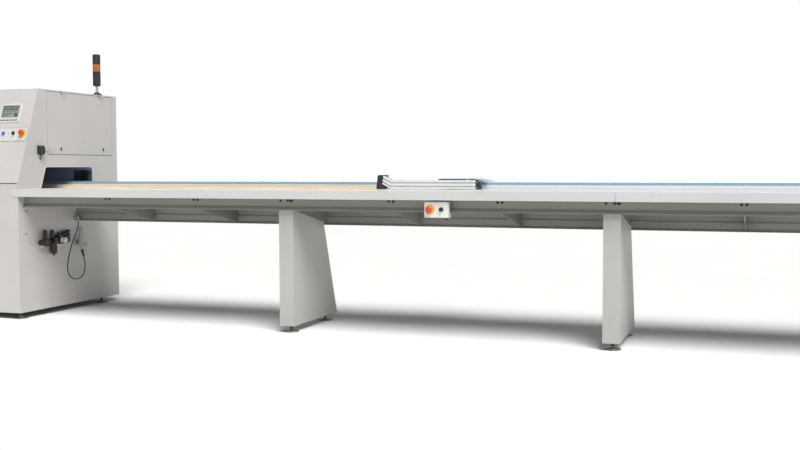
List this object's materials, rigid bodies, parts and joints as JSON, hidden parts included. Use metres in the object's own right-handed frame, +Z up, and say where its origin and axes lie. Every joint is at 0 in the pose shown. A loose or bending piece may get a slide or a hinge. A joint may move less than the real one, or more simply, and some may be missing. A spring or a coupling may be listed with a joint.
{
  "type": "push-feed crosscut saw",
  "caption": "Push-feed crosscut saw: enclosed cabinet with an up-stroke saw, and a long infeed table whose carriage pushes boards along a fence.",
  "frame": {"origin": "on the floor under the centre of the machine's overall length and depth", "axes": "+X along the infeed table away from the saw cabinet, +Y from the operator's side to the fence side, +Z up"},
  "size_m": [7.4, 1.15, 1.899],
  "materials": {
    "cabinet_paint": "fine-textured powder coat",
    "frame_paint": "powder coat",
    "dark_paint": "satin paint",
    "bed_paint": "gloss powder coat",
    "bed_steel": "ground",
    "blue_paint": "gloss paint",
    "aluminium": "anodised",
    "black_plastic": "moulded",
    "black_rubber": "matt",
    "estop_red": "moulded",
    "estop_yellow": "moulded",
    "button_blue": "moulded",
    "amber_lens": "translucent",
    "screen_glass": "polished",
    "window": "clear",
    "galvanised": "galvanised",
    "motor_paint": "enamel",
    "valve_body": "die-cast",
    "fittings": "plated",
    "wood": "planed"
  },
  "bodies": {
    "machine": {"cabinet_frame": "frame_paint", "saw_bed": "bed_steel", "right_side_panel": "cabinet_paint", "left_side_panel": "cabinet_paint", "front_lower_panel": "cabinet_paint", "front_slant_panel": "cabinet_paint", "roof_panel": "cabinet_paint", "rear_panel": "cabinet_paint", "infeed_tunnel": "dark_paint", "extraction_spigot": "galvanised", "stack_light_body": "black_plastic", "stack_light_lens": "amber_lens", "console_plate": "black_plastic", "console_screen": "screen_glass", "estop_collars": "estop_yellow", "interlock_switch": "black_plastic", "hinge_knuckles": "bed_steel", "arm_bracket": "frame_paint", "clamp_bridge": "frame_paint", "levelling_feet": "black_rubber", "table_frame": "frame_paint", "table_top": "bed_paint", "fascia": "cabinet_paint", "table_legs": "frame_paint", "back_fence": "aluminium", "guide_beam": "blue_paint", "feed_belt": "black_rubber", "gear_motor": "motor_paint", "control_box": "cabinet_paint", "air_treatment": "valve_body", "filter_bowl": "black_plastic", "pressure_gauges": "fittings", "air_hose": "black_rubber", "hose_coupling": "fittings"},
    "pusher": {"carriage_plate": "aluminium", "carriage_hood": "blue_paint", "pusher_arm": "aluminium", "pusher_head": "black_plastic", "arm_end_cap": "black_plastic", "board": "wood"},
    "feed_drive_wheel": {"drive_pulley": "aluminium"},
    "feed_return_wheel": {"idler_pulley": "aluminium"},
    "hatch": {"side_hatch": "cabinet_paint"},
    "front_hatch_lock": {"hatch_lock_front": "bed_steel"},
    "rear_hatch_lock": {"hatch_lock_rear": "bed_steel"},
    "hood": {"front_hood": "cabinet_paint", "hood_window": "window"},
    "saw_unit": {"saw_arm": "dark_paint", "saw_motor": "motor_paint"},
    "saw_spindle": {"saw_arbor": "bed_steel", "saw_blade": "bed_steel"},
    "clamp": {"clamp_shoe": "black_rubber"},
    "console_stop": {"console_estop": "estop_red"},
    "table_stop": {"table_estop": "estop_red"},
    "feed_key": {"feed_button": "black_plastic"},
    "reset_key": {"reset_button": "button_blue"},
    "selector": {"mode_selector": "black_plastic"},
    "air_regulator": {"regulator_knob": "black_plastic"},
    "line_regulator": {"line_knob": "black_plastic"},
    "air_inlet_valve": {"inlet_knob": "black_plastic"}
  },
  "joints": [
    {"name": "pusher_slide", "type": "slide", "parent": "machine", "child": "pusher", "axis": [1, 0, 0], "range_m": [-2.65, 2.74]},
    {"name": "drive_pulley_spin", "type": "hinge", "parent": "machine", "child": "feed_drive_wheel", "pos_m": [3.64, 0.223, 0.835], "axis": [0, 0, 1], "continuous": true},
    {"name": "idler_pulley_spin", "type": "hinge", "parent": "machine", "child": "feed_return_wheel", "pos_m": [-2.325, 0.223, 0.835], "axis": [0, 0, 1], "continuous": true},
    {"name": "hatch_lift", "type": "hinge", "parent": "machine", "child": "hatch", "pos_m": [-2.3955, 0.136, 1.575], "axis": [0, -1, 0], "range_deg": [0, 100]},
    {"name": "front_lock_turn", "type": "hinge", "parent": "hatch", "child": "front_hatch_lock", "pos_m": [-2.4, -0.096, 1.17], "axis": [-1, 0, 0], "range_deg": [0, 90]},
    {"name": "rear_lock_turn", "type": "hinge", "parent": "hatch", "child": "rear_hatch_lock", "pos_m": [-2.4, 0.4, 1.173], "axis": [-1, 0, 0], "range_deg": [0, 90]},
    {"name": "hood_lift", "type": "hinge", "parent": "machine", "child": "hood", "pos_m": [-3.18, -0.3481, 1.54598], "axis": [-1, 0, 0], "range_deg": [0, 75]},
    {"name": "saw_swing", "type": "hinge", "parent": "machine", "child": "saw_unit", "pos_m": [-2.88, -0.285, 0.42], "axis": [1, 0, 0], "range_deg": [0, 35]},
    {"name": "blade_spin", "type": "hinge", "parent": "saw_unit", "child": "saw_spindle", "pos_m": [-3.02, 0.025, 0.6], "axis": [1, 0, 0], "continuous": true},
    {"name": "clamp_press", "type": "slide", "parent": "machine", "child": "clamp", "axis": [0, 0, -1], "range_m": [0, 0.047]},
    {"name": "console_stop_press", "type": "slide", "parent": "machine", "child": "console_stop", "axis": [0, 0.9432, -0.3321], "range_m": [0, 0.006]},
    {"name": "table_stop_press", "type": "slide", "parent": "machine", "child": "table_stop", "axis": [0, 1, 0], "range_m": [0, 0.006]},
    {"name": "feed_button_press", "type": "slide", "parent": "machine", "child": "feed_key", "axis": [0, 1, 0], "range_m": [0, 0.004], "stiffness_N_per_m": 600},
    {"name": "reset_button_press", "type": "slide", "parent": "machine", "child": "reset_key", "axis": [0, 0.9432, -0.3321], "range_m": [0, 0.004], "stiffness_N_per_m": 600},
    {"name": "mode_selector_turn", "type": "hinge", "parent": "machine", "child": "selector", "pos_m": [-2.521, -0.44348, 1.27211], "axis": [0, -0.9432, 0.3321], "range_deg": [-45, 45]},
    {"name": "regulator_knob_turn", "type": "hinge", "parent": "machine", "child": "air_regulator", "pos_m": [-2.368, -0.328, 0.5763], "axis": [0, 0, 1], "range_deg": [-720, 720]},
    {"name": "line_knob_turn", "type": "hinge", "parent": "machine", "child": "line_regulator", "pos_m": [-2.368, 0.071, 0.5873], "axis": [0, 0, 1], "range_deg": [-720, 720]},
    {"name": "inlet_knob_turn", "type": "hinge", "parent": "machine", "child": "air_inlet_valve", "pos_m": [-2.368, -0.3703, 0.513], "axis": [0, 1, 0], "range_deg": [0, 90]}
  ],
  "couplings": [
    {"joint": "drive_pulley_spin", "follows": "pusher_slide", "rad_per_m": 50},
    {"joint": "idler_pulley_spin", "follows": "pusher_slide", "rad_per_m": 50}
  ]
}
